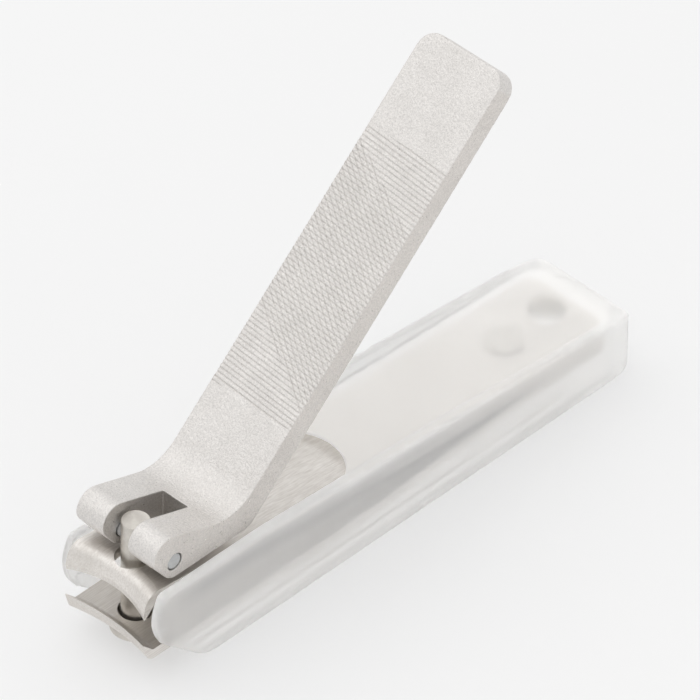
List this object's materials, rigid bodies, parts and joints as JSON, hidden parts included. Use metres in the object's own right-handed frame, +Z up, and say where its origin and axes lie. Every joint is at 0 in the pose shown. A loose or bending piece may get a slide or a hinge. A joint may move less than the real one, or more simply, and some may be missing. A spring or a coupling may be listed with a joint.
{
  "type": "lever nail clipper",
  "caption": "Lever nail clipper with a forked filing lever on a post, two sprung cutting leaves and a slide-on open-front catcher for the clippings.",
  "frame": {"origin": "on the catcher's flat base, 36 mm behind the lever pin, in the middle of the width", "axes": "+X from the cutting edges to the closed rear end, +Z up from the base through the lever"},
  "size_m": [0.0774, 0.0152, 0.0535],
  "materials": {
    "lever_steel": "satin nickel on a fine cast surface",
    "leaf_steel": "brushed spring steel",
    "pin_steel": "turned steel",
    "frosted_case": "frosted translucent moulding"
  },
  "bodies": {
    "frame": {"lower_blade": "leaf_steel", "rear_rivet": "pin_steel", "post": "pin_steel", "lever_pin": "pin_steel"},
    "upper_leaf": {"upper_blade": "leaf_steel"},
    "lever": {"lever": "lever_steel"},
    "case": {"case": "frosted_case"}
  },
  "joints": [
    {"name": "jaw_close", "type": "hinge", "parent": "frame", "child": "upper_leaf", "pos_m": [0.0217, 0, 0.006], "axis": [0, -1, 0], "range_deg": [0, 3.2]},
    {"name": "lever_press", "type": "hinge", "parent": "frame", "child": "lever", "pos_m": [-0.036, 0, 0.0151], "axis": [0, 1, 0], "range_deg": [0, 20], "stiffness_Nm_per_rad": 0.6, "springref_deg": -0.57},
    {"name": "case_slide", "type": "slide", "parent": "frame", "child": "case", "axis": [1, 0, 0], "range_m": [0, 0.072]}
  ],
  "couplings": [
    {"joint": "jaw_close", "follows": "lever_press", "ratio": 0.16}
  ]
}
